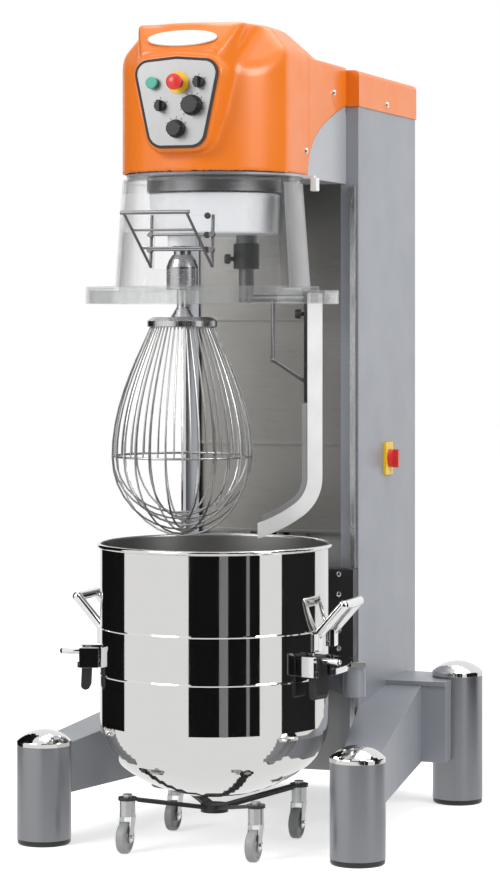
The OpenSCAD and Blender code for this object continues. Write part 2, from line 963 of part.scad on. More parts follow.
// Black cam lever that hangs from a pin between the ears' lugs
module clamp_lever() {
  pin_r = 6;
  color("black")
    rotate([0, 0, clamp_angle])
      translate([clamp_r + 6, 0, clamp_z]) {
        bar_y(0, -30.5, 30.5, 0, pin_r);
        bar_y(0, -24, 24, 0, 13);
        plate_y(-24, 24)
          polygon(concat([[-12, 0], [12, 0]], arc(4, -86, 12, 0, -180, 10)));
        bar_x(-2, 70, 0, 0, 7);
      }
}

module right_clamp_lever() {
  clamp_lever();
}

module left_clamp_lever() {
  mirror([1, 0, 0])
    clamp_lever();
}

// Carriage

module slider_blocks() {
  groove = 0.5;
  color("black")
    both_sides()
      difference() {
        translate([half_w - 1 - block_w, column_y - 46, carriage_top - block_h])
          cube([block_w, 46 - groove, block_h]);
        translate([half_w - 5 - rail_w - groove, column_y - rail_d - groove, carriage_top - block_h - 1])
          cube([rail_w + 2 * groove, rail_d + 2, block_h + 2]);
      }
}

module carriage_plate() {
  color("dimgray") {
    translate([block_w + 1 - half_w, column_y - 42, yoke_z])
      cube([column_w - 2 * block_w - 2, 24, carriage_top - yoke_z]);
    both_sides()
      translate([60, column_y - 18, carriage_top - 60])
        cube([40, lower_cover_y + cover_t - column_y + 18, 56]);
  }
}

module bowl_yoke() {
  pad_half = half_w - block_w - 10;
  pad_y = yoke_ri + 16;
  color("lightslategray") {
    sector(yoke_end, 180 - yoke_end)
      translate([yoke_ri, yoke_z])
        square([yoke_w, yoke_h]);
    both_sides()
      rotate([0, 0, yoke_end])
        translate([yoke_ri + yoke_w / 2, 0, yoke_z])
          cylinder(r = yoke_w / 2 - 2, h = yoke_h);
    translate([-pad_half, pad_y, yoke_z])
      cube([2 * pad_half, column_y - 42 - pad_y, yoke_h]);
  }
}

module lift_nut() {
  reach = screw_y - column_y + 18;
  color("darkgoldenrod")
    difference() {
      union() {
        translate([-25, column_y - 18, nut_z])
          cube([50, reach, nut_h]);
        translate([0, screw_y, nut_z])
          cylinder(r = 40, h = nut_h);
      }
      translate([0, screw_y, nut_z - 1])
        cylinder(r = screw_r + shaft_gap, h = nut_h + 2);
    }
}

gearbox_z = arm_z + 12;
gearbox_h = 130;
screw_top = nut_z + nut_h + lift_travel + 90;

module lift_gearmotor() {
  color("dimgray") {
    difference() {
      translate([-70, screw_y - 45, gearbox_z])
        cube([140, 150, gearbox_h]);
      translate([0, screw_y, gearbox_z + 40])
        cylinder(r = screw_r - 6 + shaft_gap, h = gearbox_h);
    }
    bar_y(0, screw_y + 105, screw_y + 330, gearbox_z + 65, 58);
    translate([-half_w + sheet, screw_y - 30, arm_z])
      cube([column_w - 2 * sheet, 200, 12]);
    difference() {
      translate([-half_w + sheet, screw_y - 35, screw_top])
        cube([column_w - 2 * sheet, 70, 24]);
      translate([0, screw_y, screw_top - 1])
        cylinder(r = screw_r - 6 + shaft_gap, h = 30);
    }
  }
}

module lift_screw() {
  color("lightgray")
    translate([0, screw_y, 0]) {
      translate([0, 0, gearbox_z + 50])
        cylinder(r = screw_r - 6, h = screw_top + 20 - gearbox_z - 50);
      translate([0, 0, gearbox_z + gearbox_h + run_gap])
        cylinder(r = screw_r, h = screw_top - gearbox_z - gearbox_h - 2 * run_gap);
    }
}

// Scraper: its holder hangs from the drum and carries the arm

scraper_z = brim_z - 38;

module scraper_arm() {
  holder_at = orbit_r * [cos(tool_angle + 180), sin(tool_angle + 180)];
  back = scraper_gap + bowl_wall + blade_w - 8;
  holder_local = [orbit_r * cos(tool_angle + 180 - scraper_angle), orbit_r * sin(tool_angle + 180 - scraper_angle)];
  rail_x = bowl_r - back - 9;
  color("lightslategray") {
    translate([holder_at[0], holder_at[1], scraper_z - 2])
      cylinder(r = 20, h = drum_z + 38 - scraper_z);
    translate([holder_at[0], holder_at[1], drum_z - 60])
      cylinder(r = 27, h = 60);
    rotate([0, 0, scraper_angle]) {
      rod([holder_local[0], holder_local[1], scraper_z + 10], [rail_x, blade_t / 2 + 9, scraper_z + 10], 9);
      rod([150, (holder_local[1] + blade_t / 2 + 9) / 2, scraper_z + 10],
        [150, blade_t / 2 + 9, scraper_z - 150], 5);
      rod([150, blade_t / 2 + 9, scraper_z - 150], [rail_x, blade_t / 2 + 5, scraper_z - 210], 5);
      translate([150, blade_t / 2 + 9, scraper_z - 150])
        sphere(r = 6.5);
      translate([rail_x - 9, blade_t / 2, scraper_z - 260])
        cube([27, 8, 282]);
    }
  }
}

module scraper_blade() {
  d = scraper_gap + bowl_wall;
  z0 = bowl_z + lift_travel;
  top = scraper_z + 22;
  tip_r = 112;
  outer = bowl_line(d, z0, top);
  inner = bowl_line(d + blade_w, z0, top);
  color("white")
    rotate([0, 0, scraper_angle])
      plate_y(-blade_t / 2, blade_t / 2)
        intersection() {
          polygon(concat(outer, [for (i = [len(inner) - 1 : -1 : 0]) inner[i]]));
          translate([tip_r, 0])
            square([bowl_r, column_h]);
        }
}

// Guard

hanger_r = guard_top_r - 16;
hanger_z = disc_z - 15;
front_t = 4;

module rear_guard() {
  t = 2.5;
  lip_r = bowl_r + 26;
  foot_r = guard_foot_r - 10;
  brim = brim_z - 9;
  half = (360 - front_sector) / 2 + 3;
  color("silver") {
    translate([0, 0, hanger_z])
      rotate_extrude()
        polygon([[hanger_r, 0], [hanger_r + 11, 0], [hanger_r + 11, 3], [hanger_r + 4, 3],
          [hanger_r + 4, 15], [hanger_r, 15]]);
    sector(90 - half, 90 + half)
      polygon([[hanger_r + 2, hanger_z + 1], [hanger_r + 2 + t, hanger_z + 1], [foot_r, brim], [lip_r, brim],
        [lip_r, lip_z], [lip_r - t, lip_z], [lip_r - t, brim - t], [foot_r - t, brim - t]]);
  }
}

opening_half = 75;
opening_z = brim_z + 42;
opening_top = brim_z + 176;

module front_guard() {
  lip_r = bowl_r + 37;
  top = hanger_z + 3 + run_gap;
  color([0.85, 0.9, 0.92, 0.4])
    difference() {
      sector(270 - front_sector / 2, 270 + front_sector / 2)
        polygon([[hanger_r + 4.5, top + 3], [guard_top_r, top + 3], [guard_foot_r, brim_z], [lip_r, brim_z],
          [lip_r, lip_z], [lip_r - front_t, lip_z], [lip_r - front_t, brim_z - front_t],
          [guard_foot_r - front_t, brim_z - front_t], [guard_top_r - front_t, top], [hanger_r + 4.5, top]]);
      translate([-opening_half, -300, opening_z])
        cube([2 * opening_half, 150, opening_top - opening_z]);
    }
}

// Distance ahead of the axis of the guard's face at height z, x to the side
function guard_face(x, z) = let (
    k = (z - brim_z) / (hanger_z + 6 - brim_z),
    r = guard_foot_r + (guard_top_r - guard_foot_r) * k)
  -sqrt(r * r - x * x);

module loading_chute() {
  wire_r = 4;
  x = opening_half + 7;
  top_z = opening_top + 3;
  top_y = wire_r + 1 - chute_reach;
  low_z = opening_z + 4;
  stand = wire_r + run_gap;
  low = [x, guard_face(x, low_z) - stand, low_z];
  high = [x, guard_face(x, top_z) - stand, top_z];
  color("lightgray") {
    both_sides() {
      rod(low, high, wire_r);
      rod([x, low[1], low_z + 3], [x, top_y, top_z], wire_r - 0.5);
      for (z = [top_z - 50, top_z - 88])
        bar_y(x, guard_face(x, z) - stand - 14, guard_face(x, z) - stand + 1, z, 7);
    }
    bar_x(-x - 8, x + 8, top_y, top_z, wire_r + 1);
    for (z = [top_z - 50, top_z - 88])
      bar_x(-x, x, guard_face(x, z) - stand - 9, z, wire_r - 1);
    for (k = [0.35, 0.68])
      bar_x(-x, x, low[1] + (top_y - low[1]) * k, low_z + 3 + (top_z - low_z - 3) * k, wire_r - 1);
  }
}

// Trolley

castor_places = [[-castor_xy, -castor_xy], [castor_xy, -castor_xy], [-castor_xy, castor_xy], [castor_xy, castor_xy]];
castor_top = wheel_r + 93;
stem_r = 8;
axle_r = 5;

module trolley_frame() {
  hub_z = castor_top - 47;
  arm_len = castor_xy * sqrt(2) - 20;
  rise = atan2(castor_top + 4 - hub_z - 11, arm_len);
  color("black")
    difference() {
      union() {
        translate([0, 0, hub_z])
          cylinder(r = 36, h = 20);
        for (i = [0 : 3])
          rotate([0, 0, 45 + 90 * i])
            translate([20, 0, hub_z + 11])
              rotate([0, -rise, 0])
                translate([0, -14, -4.5])
                  cube([arm_len / cos(rise), 28, 9]);
        for (p = castor_places)
          translate([p[0], p[1], castor_top])
            cylinder(r = 24, h = 8);
      }
      for (p = castor_places)
        translate([p[0], p[1], castor_top - 20])
          cylinder(r = stem_r + shaft_gap, h = 60);
      for (p = castor_places)
        translate([p[0], p[1], castor_top - 20])
          cylinder(r = 26, h = 20);
      for (p = castor_places)
        translate([p[0], p[1], castor_top + 8])
          cylinder(r = 26, h = 20);
    }
}

module castor_fork(i) {
  p = castor_places[i];
  cheek_x = wheel_w / 2 + 2;
  housing_z = wheel_r * 2 + 12;
  color("gainsboro")
    translate([p[0], p[1], 0]) {
      translate([0, 0, housing_z])
        cylinder(r = 20, h = castor_top - run_gap - housing_z);
      translate([0, 0, housing_z])
        cylinder(r = stem_r, h = castor_top + 9 - housing_z);
      translate([0, 0, castor_top + 8 + run_gap])
        cylinder(r = 13, h = 7, $fn = 6);
      both_sides()
        plate_x(cheek_x, cheek_x + 3)
          polygon(concat([[-17, housing_z + 2], [17, housing_z + 2]], arc(-trail, wheel_r, 13, -10, -180, 10)));
      bar_x(-cheek_x - 4, cheek_x + 4, -trail, wheel_r, axle_r);
    }
}

module castor_wheel(i) {
  p = castor_places[i];
  tread = 6;
  color("lightgray")
    translate([p[0], p[1] - trail, wheel_r])
      rotate([0, 90, 0])
        rotate_extrude()
          polygon(concat([[axle_r + shaft_gap, -wheel_w / 2], [14, -wheel_w / 2], [16, -wheel_w / 2 + 3],
              [wheel_r - 12, -wheel_w / 2 + 3], [wheel_r - 10, -wheel_w / 2]],
            arc(wheel_r - tread, -wheel_w / 2 + tread, tread, -90, 0, 5),
            arc(wheel_r - tread, wheel_w / 2 - tread, tread, 0, 90, 5),
            [[wheel_r - 10, wheel_w / 2], [wheel_r - 12, wheel_w / 2 - 3], [16, wheel_w / 2 - 3],
              [14, wheel_w / 2], [axle_r + shaft_gap, wheel_w / 2]]));
}

module castor_fork_1() { castor_fork(0); }
module castor_fork_2() { castor_fork(1); }
module castor_fork_3() { castor_fork(2); }
module castor_fork_4() { castor_fork(3); }
module castor_wheel_1() { castor_wheel(0); }
module castor_wheel_2() { castor_wheel(1); }
module castor_wheel_3() { castor_wheel(2); }
module castor_wheel_4() { castor_wheel(3); }

// Controls: each turned outline is [radius, distance ahead of the panel]

module turned(place, outline) {
  translate([place[0], panel_y, place[1]])
    rotate([90, 0, 0])
      rotate_extrude()
        polygon(outline);
}

module start_button() {
  color("seagreen")
    turned(start_at, [[0, -22], [11, -22], [11, 6], [15, 6], [15, 13], [13, 15], [0, 15]]);
}

module stop_button() {
  r = mushroom_r;
  color("red")
    turned(stop_at, concat([[0, -24], [11, -24], [11, 20], [r - 4, 24], [r, 28], [r, 33]],
      arc(0, 33 - r * 1.1, r * 1.48, 48, 90, 8)));
}

module selector(place) {
  color("black") {
    turned(place, [[0, -20], [8, -20], [8, run_gap], [14, run_gap], [14, 10], [13, 11], [0, 11]]);
    translate([place[0] - 4, panel_y - 22, place[1] - 14])
      cube([8, 12, 28]);
  }
}

module left_selector() { selector(left_selector_at); }
module right_selector() { selector(right_selector_at); }

module round_knob(place, r) {
  color("black")
    difference() {
      turned(place, [[0, -20], [8, -20], [8, run_gap], [r, run_gap], [r, 6], [r - 3, 8], [r - 4, 24],
        [r - 6, 26], [0, 26]]);
      for (i = [0 : 11])
        translate([place[0], 0, place[1]])
          rotate([0, 30 * i, 0])
            bar_y(r - 2, panel_y - 30, panel_y - 8, 0, 3);
    }
}

module speed_knob() { round_knob(speed_knob_at, speed_knob_r); }
module lift_knob() { round_knob(lift_knob_at, speed_knob_r - 3); }

module mains_switch_plate() {
  color("gold")
    difference() {
      translate([half_w, switch_y - 35, switch_z - 45])
        cube([switch_plate_t, 70, 90]);
      bar_x(half_w - 1, half_w + 20, switch_y, switch_z, 9 + shaft_gap);
    }
}

module mains_switch_knob() {
  face = half_w + switch_plate_t + run_gap;
  color("red") {
    bar_x(half_w + run_gap, face + 1, switch_y, switch_z, 9);
    bar_x(face, face + 12, switch_y, switch_z, 25);
    translate([face + 11, switch_y - 8, switch_z - 25])
      cube([16, 16, 50]);
  }
}

module control_box() {
  color("lightgray") {
    translate([-170, column_back - sheet - 200, 640])
      cube([340, 200, 420]);
    translate([-150, column_back - sheet - 208, 660])
      cube([300, 8, 380]);
  }
}

at_bowl() base_frame();
at_bowl() legs();
at_bowl() leg_caps();
at_bowl() foot_rings();
at_bowl() column_sides();
at_bowl() column_rear_cover();
at_bowl() column_inner_panel();
at_bowl() upper_lift_cover();
at_bowl() lift_rails();
at_bowl() column_cap();
at_bowl() head_casting();
at_bowl() head_cover();
at_bowl() control_panel();
at_bowl() panel_gasket();
at_bowl() main_motor();
at_bowl() drive_belt();
at_bowl() shaft_bearings();
at_bowl() ring_gear();
at_bowl() rear_guard();
at_bowl() lift_gearmotor();
at_bowl() mains_switch_plate();
at_bowl() control_box();
at_bowl() carriage_plate();
at_bowl() slider_blocks();
at_bowl() bowl_yoke();
at_bowl() lift_nut();
at_bowl() lower_lift_cover();
at_bowl() bowl();
at_bowl() bowl_fittings();
at_bowl() left_clamp_lever();
at_bowl() right_clamp_lever();
at_bowl() middle_lift_cover();
at_bowl() lift_screw();
at_bowl() motor_pulley();
at_bowl() planetary_drum();
at_bowl() main_shaft();
at_bowl() driven_pulley();
at_bowl() scraper_arm();
at_bowl() scraper_blade();
at_bowl() tool_shaft();
at_bowl() whisk_hub();
at_bowl() whisk_wires();
at_bowl() front_guard();
at_bowl() loading_chute();
at_bowl() trolley_frame();
at_bowl() castor_fork_1();
at_bowl() castor_fork_2();
at_bowl() castor_fork_3();
at_bowl() castor_fork_4();
at_bowl() castor_wheel_1();
at_bowl() castor_wheel_2();
at_bowl() castor_wheel_3();
at_bowl() castor_wheel_4();
at_bowl() start_button();
at_bowl() stop_button();
at_bowl() left_selector();
at_bowl() right_selector();
at_bowl() speed_knob();
at_bowl() lift_knob();
at_bowl() mains_switch_knob();
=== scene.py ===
"""Floor-standing planetary mixer: finishes, small fittings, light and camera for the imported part."""

import math

import bmesh
import bpy
import numpy as np
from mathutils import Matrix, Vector

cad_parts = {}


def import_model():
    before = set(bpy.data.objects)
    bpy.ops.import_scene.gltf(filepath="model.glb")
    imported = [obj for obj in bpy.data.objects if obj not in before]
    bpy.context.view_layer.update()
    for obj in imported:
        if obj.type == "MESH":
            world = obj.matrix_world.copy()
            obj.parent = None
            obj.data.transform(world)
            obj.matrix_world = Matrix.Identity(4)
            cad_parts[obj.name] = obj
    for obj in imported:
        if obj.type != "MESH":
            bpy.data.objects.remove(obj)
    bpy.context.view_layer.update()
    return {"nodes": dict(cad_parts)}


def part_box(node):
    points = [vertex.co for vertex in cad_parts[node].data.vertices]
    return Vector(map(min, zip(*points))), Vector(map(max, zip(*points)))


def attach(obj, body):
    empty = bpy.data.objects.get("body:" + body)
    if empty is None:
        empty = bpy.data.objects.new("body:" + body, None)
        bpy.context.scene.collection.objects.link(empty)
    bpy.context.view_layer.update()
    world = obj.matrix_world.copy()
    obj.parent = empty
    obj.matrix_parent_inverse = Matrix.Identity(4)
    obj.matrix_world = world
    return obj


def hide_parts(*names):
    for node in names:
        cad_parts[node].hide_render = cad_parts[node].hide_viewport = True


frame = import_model()
nodes = frame["nodes"]
scene = bpy.context.scene

# The bowl's axis in the row frame, in metres; pieces are placed in millimetres from it
BOWL_Y = -0.2825


def at(x, y, z):
    """A point given in millimetres from the bowl's axis, in the row frame."""
    return Vector((x / 1000, y / 1000 + BOWL_Y, z / 1000))


def middle(low, high):
    """Middle of a node's box, in millimetres from the bowl's axis."""
    return 500 * (low[0] + high[0]), 500 * (low[1] + high[1] - 2 * BOWL_Y), 500 * (low[2] + high[2])


def turned(x, y, z, turn):
    """A point turned about the bowl's axis."""
    return x * math.cos(turn) - y * math.sin(turn), x * math.sin(turn) + y * math.cos(turn), z


def add_object(name, data):
    made = bpy.data.objects.new(name, data)
    scene.collection.objects.link(made)
    return made


# Materials

WHITE = (1, 1, 1)
FINE_EDGE = 0.0008
GRAIN_DEPTH = 0.0002
POLISH_WAVE = 0.02
# Sockets of a mix node that mixes colours
MIX_INPUTS = (0, 6, 7)
MIX_OUTPUT = 2


class Nodes:
    """Short calls for the nodes of one tree."""

    def __init__(self, tree):
        self.tree = tree

    def node(self, kind, **values):
        made = self.tree.nodes.new(kind)
        for key, value in values.items():
            setattr(made, key, value)
        return made

    def link(self, output, target):
        self.tree.links.new(output, target)

    def join(self, source, target):
        """Link an output, or set a plain number or colour."""
        if hasattr(source, "is_linked"):
            self.link(source, target)
        elif isinstance(source, tuple):
            target.default_value = (*source, 1)
        else:
            target.default_value = source

    def maths(self, operation, first, second):
        made = self.node("ShaderNodeMath", operation=operation)
        for source, target in zip((first, second), made.inputs):
            self.join(source, target)
        return made.outputs[0]

    def seen(self, path):
        """Factor for rays that the camera sends, straight or through clear sheet."""
        return self.maths("MAXIMUM", path.outputs["Is Camera Ray"], path.outputs["Is Transmission Ray"])

    def light(self, kind, colour, strength):
        made = self.node(kind)
        self.join(colour, made.inputs["Color"])
        self.join(strength, made.inputs["Strength"])
        return made.outputs[0]

    def blended(self, kind, *sources):
        made = self.node(kind)
        for source, target in zip(sources, made.inputs):
            self.link(source, target)
        return made.outputs[0]


class Shader(Nodes):
    """A Principled material and short calls for the nodes that feed it."""

    def __init__(self, name, **values):
        self.material = bpy.data.materials.new(name)
        self.material.use_nodes = True
        super().__init__(self.material.node_tree)
        self.bsdf = self.tree.nodes["Principled BSDF"]
        for key, value in values.items():
            self.join(value, self.bsdf.inputs[key.replace("_", " ")])
        self.position = None

    def feed(self, output, name):
        self.link(output, self.bsdf.inputs[name])

    def place(self, scale=(1, 1, 1)):
        if self.position is None:
            self.position = self.node("ShaderNodeTexCoord").outputs["Object"]
        mapping = self.node("ShaderNodeMapping")
        mapping.inputs["Scale"].default_value = scale
        self.link(self.position, mapping.inputs["Vector"])
        return mapping.outputs["Vector"]

    def split(self, vector):
        made = self.node("ShaderNodeSeparateXYZ")
        self.link(vector, made.inputs[0])
        return made.outputs

    def noise(self, scale, detail=3.0, stretch=(1, 1, 1), roughness=0.5):
        made = self.node("ShaderNodeTexNoise")
        made.inputs["Scale"].default_value = scale
        made.inputs["Detail"].default_value = detail
        made.inputs["Roughness"].default_value = roughness
        self.link(self.place(stretch), made.inputs["Vector"])
        return made.outputs["Fac"]

    def spread(self, fac, low, high, start=0.3, end=0.7):
        made = self.node("ShaderNodeMapRange")
        made.inputs["From Min"].default_value = start
        made.inputs["From Max"].default_value = end
        made.inputs["To Min"].default_value = low
        made.inputs["To Max"].default_value = high
        self.link(fac, made.inputs["Value"])
        return made.outputs["Result"]

    def tones(self, fac, stops):
        made = self.node("ShaderNodeValToRGB")
        for element, (place, colour) in zip(made.color_ramp.elements, stops):
            element.position = place
            element.color = (*colour, 1)
        self.link(fac, made.inputs["Fac"])
        return made.outputs["Color"]

    def mixed(self, fac, first, second):
        made = self.node("ShaderNodeMix", data_type="RGBA")
        for source, index in zip((fac, first, second), MIX_INPUTS):
            self.join(source, made.inputs[index])
        return made.outputs[MIX_OUTPUT]

    def soft_edge(self, radius):
        made = self.node("ShaderNodeBevel", samples=4)
        made.inputs["Radius"].default_value = radius
        return made.outputs["Normal"]

    def edge_mask(self, radius):
        turn = self.node("ShaderNodeVectorMath", operation="DOT_PRODUCT")
        self.link(self.soft_edge(radius), turn.inputs[0])
        self.link(self.node("ShaderNodeNewGeometry").outputs["Normal"], turn.inputs[1])
        return self.spread(turn.outputs["Value"], low=1.0, high=0.0, start=0.9, end=0.995)

    def bump(self, height, strength, depth, normal=None):
        made = self.node("ShaderNodeBump")
        made.inputs["Strength"].default_value = strength
        made.inputs["Distance"].default_value = depth
        self.link(height, made.inputs["Height"])
        if normal is not None:
            self.link(normal, made.inputs["Normal"])
        return made.outputs["Normal"]

    def polish(self, colour, rough, stretch, wave):
        """Bump of a mirror polish; gives back its tone, with faint lines, and its roughness, with finger haze."""
        lines = self.noise(scale=1.0, stretch=stretch, roughness=0.6)
        tone = self.tones(lines, [(0.2, shade(colour, 0.965)), (0.8, shade(colour, 1.02))])
        haze = self.spread(self.noise(scale=7.0, detail=5), low=rough, high=rough + 0.05, start=0.35, end=0.8)
        fine = self.bump(lines, strength=0.015, depth=GRAIN_DEPTH, normal=self.soft_edge(FINE_EDGE))
        self.feed(self.bump(self.noise(scale=5.0, detail=1), strength=wave, depth=0.004, normal=fine), "Normal")
        return tone, haze


def shade(colour, factor):
    return tuple(min(1.0, c * factor) for c in colour)


def paint(name, colour, rough, peel, metallic=0.0, edge=0.0012, coat=0.0, wear=0.25):
    """Sprayed paint: fine uneven gloss, faint cloudiness and lighter rubbed edges."""
    s = Shader(name, Metallic=metallic, Coat_Weight=coat, Coat_Roughness=0.08)
    cloud = s.noise(scale=2.3, detail=4)
    body = s.tones(cloud, [(0.25, shade(colour, 0.94)), (0.75, shade(colour, 1.05))])
    rubbed = s.maths("MULTIPLY", s.edge_mask(edge), s.spread(s.noise(scale=40), low=0.0, high=wear))
    s.feed(s.mixed(rubbed, body, shade(colour, 1.9)), "Base Color")
    s.feed(s.spread(s.noise(scale=9, detail=5), low=rough - 0.05, high=rough + 0.06), "Roughness")
    grain = s.noise(scale=700, detail=2)
    s.feed(s.bump(grain, strength=peel, depth=0.0004, normal=s.soft_edge(edge)), "Normal")
    return s.material


def brushed(name, colour, rough, stretch, depth=0.10):
    """Ground metal: fine lines along one direction, with slow changes of tone."""
    s = Shader(name, Metallic=1.0)
    lines = s.noise(scale=1.0, detail=4, stretch=stretch, roughness=0.65)
    slow = s.noise(scale=3.0)
    tone = s.tones(lines, [(0.3, shade(colour, 0.94)), (0.7, shade(colour, 1.06))])
    s.feed(s.mixed(s.spread(slow, low=0.0, high=0.5), tone, shade(colour, 0.9)), "Base Color")
    s.feed(s.spread(lines, low=rough - 0.07, high=rough + 0.08), "Roughness")
    s.feed(s.bump(lines, strength=depth, depth=GRAIN_DEPTH, normal=s.soft_edge(FINE_EDGE)), "Normal")
    return s.material


def polished(name, colour, rough, stretch, wave=POLISH_WAVE):
    """Mirror-polished metal: faint polishing lines, a slight waviness and finger haze."""
    s = Shader(name, Metallic=1.0)
    tone, haze = s.polish(colour, rough, stretch, wave)
    s.feed(tone, "Base Color")
    s.feed(haze, "Roughness")
    return s.material


def spun_bowl(name, colour, rough, stretch, inner_radius):
    """Bowl steel: mirror-polished outside, spun satin inside, told apart by the distance from the axis."""
    s = Shader(name, Metallic=1.0)
    tone, haze = s.polish(colour, rough, stretch, POLISH_WAVE)
    place = s.split(s.place())
    across = s.maths("SUBTRACT", place["Y"], BOWL_Y)
    square = s.maths("ADD", s.maths("MULTIPLY", place["X"], place["X"]), s.maths("MULTIPLY", across, across))
    lean = s.split(s.node("ShaderNodeNewGeometry").outputs["True Normal"])
    inside = s.maths("MULTIPLY", s.maths("LESS_THAN", square, inner_radius ** 2),
                     s.maths("GREATER_THAN", lean["Z"], -0.05))
    s.feed(s.mixed(inside, tone, shade(colour, 0.62)), "Base Color")
    s.feed(s.maths("ADD", haze, s.maths("MULTIPLY", inside, 0.30)), "Roughness")
    return s.material


def plastic(name, colour, rough, grain=900, depth=0.12, coat=0.0):
    """Moulded plastic: fine spark-eroded texture, small tone changes and softened edges."""
    s = Shader(name, Coat_Weight=coat)
    body = s.tones(s.noise(scale=14, detail=4), [(0.25, shade(colour, 0.93)), (0.75, shade(colour, 1.06))])
    rubbed = s.maths("MULTIPLY", s.edge_mask(FINE_EDGE), 0.25)
    s.feed(s.mixed(rubbed, body, shade(colour, 1.5)), "Base Color")
    s.feed(s.spread(s.noise(scale=25, detail=4), low=rough - 0.06, high=rough + 0.06), "Roughness")
    texture = s.noise(scale=grain, detail=2)
    s.feed(s.bump(texture, strength=depth, depth=GRAIN_DEPTH, normal=s.soft_edge(FINE_EDGE)), "Normal")
    return s.material


def clear_plastic(name, brim_top):
    """Clear sheet: rubbed haze, hairline scratches, edges that catch the light and a thicker, cloudier brim."""
    s = Shader(name, Metallic=0.0, IOR=1.45, Transmission_Weight=0.85)
    haze = s.noise(scale=9, detail=5)
    scratch = s.noise(scale=1.0, stretch=(30, 900, 30), roughness=0.7)
    s.feed(s.tones(haze, [(0.3, (0.70, 0.72, 0.72)), (0.7, (0.80, 0.81, 0.81))]), "Base Color")
    facing = s.node("ShaderNodeLayerWeight").outputs["Facing"]
    body = s.spread(facing, low=0.09, high=0.75, start=0.45, end=1.0)
    below = s.maths("LESS_THAN", s.split(s.place())["Z"], brim_top)
    brim = s.maths("MULTIPLY", below, s.spread(scratch, low=0.22, high=0.42))
    rim = s.maths("MULTIPLY", s.edge_mask(0.0025), 0.6)
    s.feed(s.maths("MAXIMUM", s.maths("MAXIMUM", body, brim), rim), "Alpha")
    rubbed = s.maths("ADD", haze, s.maths("MULTIPLY", scratch, 0.4))
    s.feed(s.spread(rubbed, low=0.03, high=0.14, start=0.4, end=1.0), "Roughness")
    s.feed(s.bump(haze, strength=0.05, depth=0.0008), "Normal")
    return s.material


MIRROR_STEEL = (0.73, 0.725, 0.71)
MIRROR_ROUGH = 0.03
# Stretch of the noise that gives lines round a turned or a spun part
TURNED = (40, 40, 800)
SPUN = (12, 12, 900)
# In metres: between the bowl's inner and outer wall, and just above the brim of the guard
BOWL_SPLIT = 0.2942
BRIM_TOP = 1.442

mats = {
    "grey_paint": paint("grey_paint", (0.33, 0.345, 0.375), 0.38, metallic=0.35, peel=0.05),
    "leg_paint": paint("leg_paint", (0.285, 0.29, 0.308), 0.32, metallic=0.85, peel=0.04),
    "dark_steel": brushed("dark_steel", (0.21, 0.21, 0.215), 0.34, TURNED),
    "guard_sheet": paint("guard_sheet", (0.38, 0.38, 0.385), 0.34, metallic=0.4, peel=0.04),
    "orange": paint("orange_gloss", (0.80, 0.187, 0.011), 0.33, peel=0.03, edge=0.002, coat=0.17, wear=0.12),
    "mirror": polished("mirror_steel", MIRROR_STEEL, MIRROR_ROUGH, SPUN),
    "bowl": spun_bowl("bowl_steel", MIRROR_STEEL, MIRROR_ROUGH, SPUN, BOWL_SPLIT),
    "chrome": polished("chrome", (0.84, 0.84, 0.84), 0.05, (60, 60, 60), wave=0.008),
    "sheet": brushed("brushed_sheet", (0.27, 0.262, 0.248), 0.33, (15, 15, 700)),
    "steel": brushed("turned_steel", (0.46, 0.46, 0.47), 0.24, TURNED),
    "rail": brushed("rail_steel", (0.58, 0.58, 0.585), 0.25, (500, 500, 12), depth=0.05),
    "wire": brushed("drawn_wire", (0.52, 0.52, 0.51), 0.38, (90, 90, 30), depth=0.05),
    "casting": paint("casting_paint", (0.47, 0.48, 0.51), 0.36, metallic=0.2, peel=0.1),
    "black_paint": paint("black_paint", (0.022, 0.022, 0.024), 0.35, peel=0.12, wear=0.5),
    "black_plastic": plastic("black_plastic", (0.018, 0.018, 0.019), 0.42),
    "rubber": plastic("rubber", (0.03, 0.03, 0.031), 0.7, grain=500, depth=0.25),
    "motor": paint("motor_paint", (0.2, 0.21, 0.23), 0.5, peel=0.3, wear=0.4),
    "enamel": paint("white_enamel", (0.78, 0.79, 0.81), 0.28, peel=0.03, coat=0.3, wear=0.05),
    "panel": brushed("panel_aluminium", (0.39, 0.39, 0.39), 0.48, (600, 20, 20), depth=0.05),
    "bronze": brushed("bronze", (0.55, 0.4, 0.18), 0.3, TURNED),
    "clear": clear_plastic("clear_sheet", BRIM_TOP),
    "white_plastic": plastic("white_plastic", (0.80, 0.80, 0.79), 0.4),
    "castor": plastic("castor_grey", (0.34, 0.345, 0.34), 0.45),
    "zinc": brushed("zinc_plate", (0.56, 0.57, 0.57), 0.34, (60, 60, 200), depth=0.05),
    "green": plastic("green_plastic", (0.06, 0.40, 0.29), 0.3, coat=0.3),
    "red": plastic("red_plastic", (0.66, 0.035, 0.03), 0.3, coat=0.3),
    "yellow": plastic("yellow_plastic", (0.86, 0.56, 0.02), 0.35),
}

